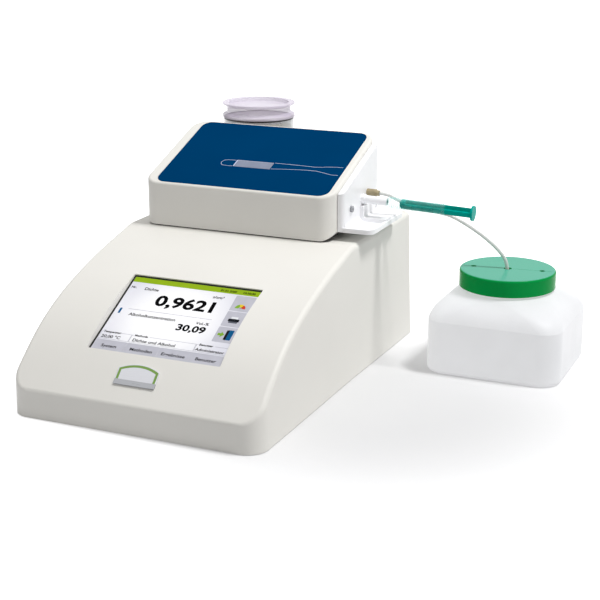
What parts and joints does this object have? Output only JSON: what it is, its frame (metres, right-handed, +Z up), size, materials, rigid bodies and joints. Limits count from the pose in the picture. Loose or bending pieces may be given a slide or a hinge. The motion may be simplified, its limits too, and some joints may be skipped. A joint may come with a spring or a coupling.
{
  "type": "benchtop density meter",
  "caption": "Benchtop oscillating-tube density meter with sloped display, side syringe port, waste tube to a lidded bottle and a rear drying cartridge.",
  "frame": {"origin": "middle of the whole set's footprint on the bench", "axes": "+X to the instrument's right, towards the waste bottle; +Y to its back; +Z up"},
  "size_m": [0.3906, 0.4185, 0.2006],
  "materials": {
    "body_white": "fine texture",
    "plate_steel": "satin",
    "foot_rubber": "matt",
    "screw_steel": "bright",
    "touch_glass": "clear",
    "display_module": "matt",
    "plate_blank": "satin",
    "seat_black": "matt",
    "cover_white": "fine texture",
    "panel_blue": "semi-gloss",
    "window_clear": "clear",
    "adapter_white": "smooth",
    "nut_tan": "smooth",
    "cell_aluminium": "milled",
    "tube_glass": "clear",
    "mass_brass": "turned",
    "piezo_white": "ceramic",
    "foam_dark": "foam",
    "board_green": "lacquered",
    "board_parts": "matt",
    "fan_black": "matt",
    "standoff_brass": "turned",
    "supply_case": "satin",
    "pump_case": "matt",
    "hose_silicone": "soft",
    "inlet_black": "matt",
    "connector_steel": "bright",
    "cable_grey": "flat",
    "jar_clear": "clear",
    "granules": "granular",
    "cap_lavender": "translucent",
    "barrel_clear": "clear",
    "plunger_teal": "smooth",
    "bottle_natural": "translucent",
    "lid_green": "smooth",
    "liner_white": "soft",
    "tube_tan": "translucent"
  },
  "bodies": {
    "instrument": {"housing": "body_white", "base_plate": "plate_steel", "display_bracket": "plate_steel", "rear_panel": "plate_steel", "feet": "foot_rubber", "pump_mounts": "foot_rubber", "display_gasket": "foot_rubber", "base_screws": "screw_steel", "rear_panel_screws": "screw_steel", "display_screws": "screw_steel", "adapter_screws": "screw_steel", "touch_panel": "touch_glass", "lcd_module": "display_module", "name_plate": "plate_blank", "cover_seat": "seat_black", "cartridge_holder": "seat_black", "cell_cover": "cover_white", "cover_panel": "panel_blue", "cell_window": "window_clear", "port_adapter": "adapter_white", "luer_port": "adapter_white", "waste_fitting": "nut_tan", "cell_block": "cell_aluminium", "heat_sink": "cell_aluminium", "oscillator_tube": "tube_glass", "counter_mass": "mass_brass", "temperature_sensor": "mass_brass", "piezo_discs": "piezo_white", "peltier_elements": "piezo_white", "cell_insulation": "foam_dark", "main_board": "board_green", "lamp_board": "board_green", "board_components": "board_parts", "fan_frame": "fan_black", "board_standoffs": "standoff_brass", "air_nipples": "standoff_brass", "power_supply": "supply_case", "air_pump": "pump_case", "suction_hose": "hose_silicone", "pressure_hose": "hose_silicone", "power_inlet": "inlet_black", "network_port": "inlet_black", "usb_ports": "inlet_black", "serial_port": "connector_steel", "display_cable": "cable_grey", "waste_bottle": "bottle_natural", "waste_tube": "tube_tan"},
    "fan": {"fan_rotor": "fan_black"},
    "rocker": {"power_switch": "inlet_black"},
    "fuse_tray": {"fuse_drawer": "inlet_black"},
    "barrel": {"syringe_barrel": "barrel_clear"},
    "plunger": {"syringe_plunger": "plunger_teal"},
    "liner": {"lid_liner": "liner_white"},
    "lid": {"bottle_lid": "lid_green"},
    "cartridge": {"cartridge_body": "jar_clear", "desiccant": "granules", "cartridge_seal": "foot_rubber"},
    "cap": {"cartridge_cap": "cap_lavender"}
  },
  "joints": [
    {"name": "fan_spin", "type": "hinge", "parent": "instrument", "child": "fan", "pos_m": [-0.0109, 0.12775, 0.07], "axis": [0, 1, 0], "continuous": true},
    {"name": "rocker_tip", "type": "hinge", "parent": "instrument", "child": "rocker", "pos_m": [-0.07989, 0.13325, 0.0775], "axis": [1, 0, 0], "range_deg": [-18, 0]},
    {"name": "fuse_slide", "type": "slide", "parent": "instrument", "child": "fuse_tray", "axis": [0, 1, 0], "range_m": [0, 0.014]},
    {"name": "syringe_pull", "type": "slide", "parent": "instrument", "child": "barrel", "axis": [0.9993, 0, -0.0366], "range_m": [0, 0.012]},
    {"name": "plunger_slide", "type": "slide", "parent": "barrel", "child": "plunger", "axis": [0.9993, 0, -0.0366], "range_m": [-0.009, 0.03]},
    {"name": "lid_lift", "type": "slide", "parent": "instrument", "child": "liner", "axis": [0, 0, 1], "range_m": [0, 0.005]},
    {"name": "lid_turn", "type": "hinge", "parent": "liner", "child": "lid", "pos_m": [0.13411, 0.07875, 0.08], "axis": [0, 0, 1], "range_deg": [0, 360]},
    {"name": "cartridge_lift", "type": "slide", "parent": "instrument", "child": "cartridge", "axis": [0, 0, 1], "range_m": [0, 0.05]},
    {"name": "cap_pull", "type": "slide", "parent": "cartridge", "child": "cap", "axis": [0, 0, 1], "range_m": [0, 0.03]}
  ],
  "couplings": [
    {"joint": "lid_lift", "follows": "lid_turn", "m_per_rad": 0.00079577}
  ]
}
